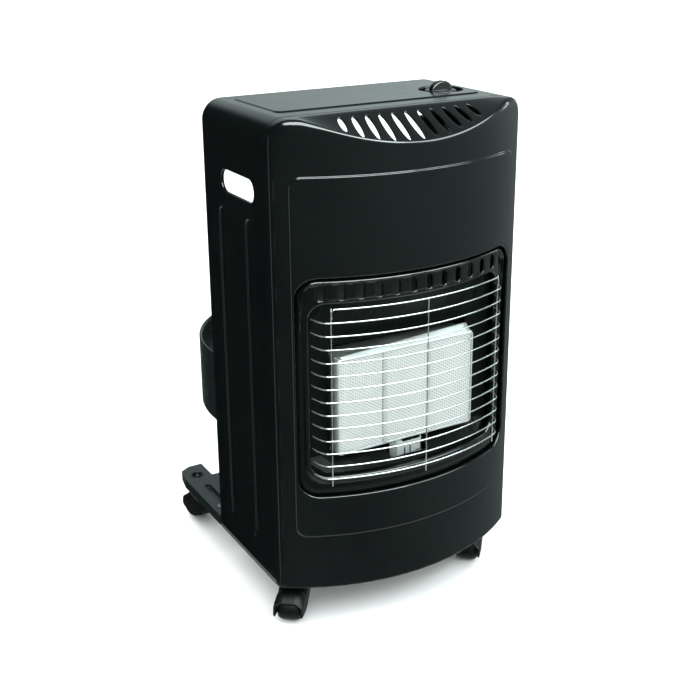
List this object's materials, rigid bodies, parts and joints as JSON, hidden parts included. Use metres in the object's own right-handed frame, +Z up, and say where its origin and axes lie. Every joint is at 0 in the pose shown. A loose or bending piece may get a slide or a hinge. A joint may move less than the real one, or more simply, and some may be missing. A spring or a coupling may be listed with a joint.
{
  "type": "portable gas cabinet heater",
  "caption": "Portable cabinet gas heater on swivel casters: bulged front with a guarded infrared burner, top vents and knob, folding rear base and cylinder hoop.",
  "frame": {"origin": "on the floor, under the middle of the bounding box", "axes": "+Z up, the burner faces -Y, the control knob is towards +X"},
  "size_m": [0.4384, 0.5124, 0.763],
  "materials": {
    "cabinet_paint": "satin-gloss black powder coat",
    "front_paint": "satin-gloss black powder coat",
    "surround_enamel": "gloss black enamel",
    "firebox_enamel": "gloss black enamel",
    "guard_chrome": "bright chrome wire",
    "frame_paint": "satin grey-green paint",
    "zinc_steel": "zinc plated",
    "burner_steel": "bright rolled steel",
    "plaque_ceramic": "matt perforated ceramic",
    "brass": "machined",
    "copper": "drawn copper tube",
    "black_plastic": "moulded satin black",
    "insulator": "glazed"
  },
  "bodies": {
    "cabinet": {"cabinet_shell": "cabinet_paint", "front_panel": "front_paint", "burner_surround": "surround_enamel", "firebox": "firebox_enamel", "guard_grille": "guard_chrome", "rear_partition": "zinc_steel", "base_pan": "frame_paint", "burner_frame": "burner_steel", "burner_plenum": "zinc_steel", "burner_support": "zinc_steel", "ceramic_plaque_1": "plaque_ceramic", "ceramic_plaque_2": "plaque_ceramic", "ceramic_plaque_3": "plaque_ceramic", "gas_injector": "brass", "pilot_bracket": "burner_steel", "pilot_burner": "brass", "spark_electrode": "insulator", "thermocouple": "copper", "valve_bracket": "zinc_steel", "gas_valve": "brass", "piezo_igniter": "black_plastic", "hose_nozzle": "brass", "main_gas_pipe": "zinc_steel", "pilot_pipe": "copper", "thermocouple_lead": "copper", "hoop_stud_left": "zinc_steel", "hoop_stud_right": "zinc_steel", "hinge_pin_left": "zinc_steel", "hinge_pin_right": "zinc_steel", "front_left_caster_mount": "zinc_steel", "front_right_caster_mount": "zinc_steel"},
    "rear_base": {"base_rail_left": "frame_paint", "base_rail_right": "frame_paint", "cylinder_tray": "frame_paint", "rail_screw_left": "zinc_steel", "rail_screw_right": "zinc_steel", "rear_left_caster_mount": "zinc_steel", "rear_right_caster_mount": "zinc_steel"},
    "hoop": {"cylinder_hoop": "frame_paint"},
    "valve_stem": {"valve_stem": "zinc_steel"},
    "knob": {"control_knob": "black_plastic"},
    "front_left_swivel": {"front_left_caster_hood": "black_plastic", "front_left_caster_axle": "zinc_steel"},
    "front_left_roller": {"front_left_caster_wheel": "black_plastic"},
    "front_right_swivel": {"front_right_caster_hood": "black_plastic", "front_right_caster_axle": "zinc_steel"},
    "front_right_roller": {"front_right_caster_wheel": "black_plastic"},
    "rear_left_swivel": {"rear_left_caster_hood": "black_plastic", "rear_left_caster_axle": "zinc_steel"},
    "rear_left_roller": {"rear_left_caster_wheel": "black_plastic"},
    "rear_right_swivel": {"rear_right_caster_hood": "black_plastic", "rear_right_caster_axle": "zinc_steel"},
    "rear_right_roller": {"rear_right_caster_wheel": "black_plastic"}
  },
  "joints": [
    {"name": "base_fold", "type": "hinge", "parent": "cabinet", "child": "rear_base", "pos_m": [0.00025, 0.04525, 0.0665], "axis": [1, 0, 0], "range_deg": [0, 90]},
    {"name": "hoop_lift", "type": "hinge", "parent": "cabinet", "child": "hoop", "pos_m": [0.00025, 0.01725, 0.298], "axis": [1, 0, 0], "range_deg": [0, 90]},
    {"name": "valve_turn", "type": "hinge", "parent": "cabinet", "child": "valve_stem", "pos_m": [0.13225, -0.08175, 0.739], "axis": [0, 0, 1], "range_deg": [0, 210]},
    {"name": "knob_press", "type": "slide", "parent": "valve_stem", "child": "knob", "axis": [0, 0, -1], "range_m": [0, 0.003], "stiffness_N_per_m": 600, "springref_m": -0.002},
    {"name": "front_left_swivel_turn", "type": "hinge", "parent": "cabinet", "child": "front_left_swivel", "pos_m": [-0.16275, -0.14675, 0.058], "axis": [0, 0, 1], "continuous": true},
    {"name": "front_left_wheel_spin", "type": "hinge", "parent": "front_left_swivel", "child": "front_left_roller", "pos_m": [-0.18667, -0.17628, 0.02], "axis": [0.7771, -0.6293, 0], "continuous": true},
    {"name": "front_right_swivel_turn", "type": "hinge", "parent": "cabinet", "child": "front_right_swivel", "pos_m": [0.16325, -0.14675, 0.058], "axis": [0, 0, 1], "continuous": true},
    {"name": "front_right_wheel_spin", "type": "hinge", "parent": "front_right_swivel", "child": "front_right_roller", "pos_m": [0.13782, -0.17499, 0.02], "axis": [0.7431, -0.6691, 0], "continuous": true},
    {"name": "rear_left_swivel_turn", "type": "hinge", "parent": "rear_base", "child": "rear_left_swivel", "pos_m": [-0.18125, 0.14475, 0.058], "axis": [0, 0, 1], "continuous": true},
    {"name": "rear_left_wheel_spin", "type": "hinge", "parent": "rear_left_swivel", "child": "rear_left_roller", "pos_m": [-0.18059, 0.18274, 0.02], "axis": [-0.9998, 0.0175, 0], "continuous": true},
    {"name": "rear_right_swivel_turn", "type": "hinge", "parent": "rear_base", "child": "rear_right_swivel", "pos_m": [0.18175, 0.14475, 0.058], "axis": [0, 0, 1], "continuous": true},
    {"name": "rear_right_wheel_spin", "type": "hinge", "parent": "rear_right_swivel", "child": "rear_right_roller", "pos_m": [0.19158, 0.18146, 0.02], "axis": [-0.9659, 0.2588, 0], "continuous": true}
  ]
}
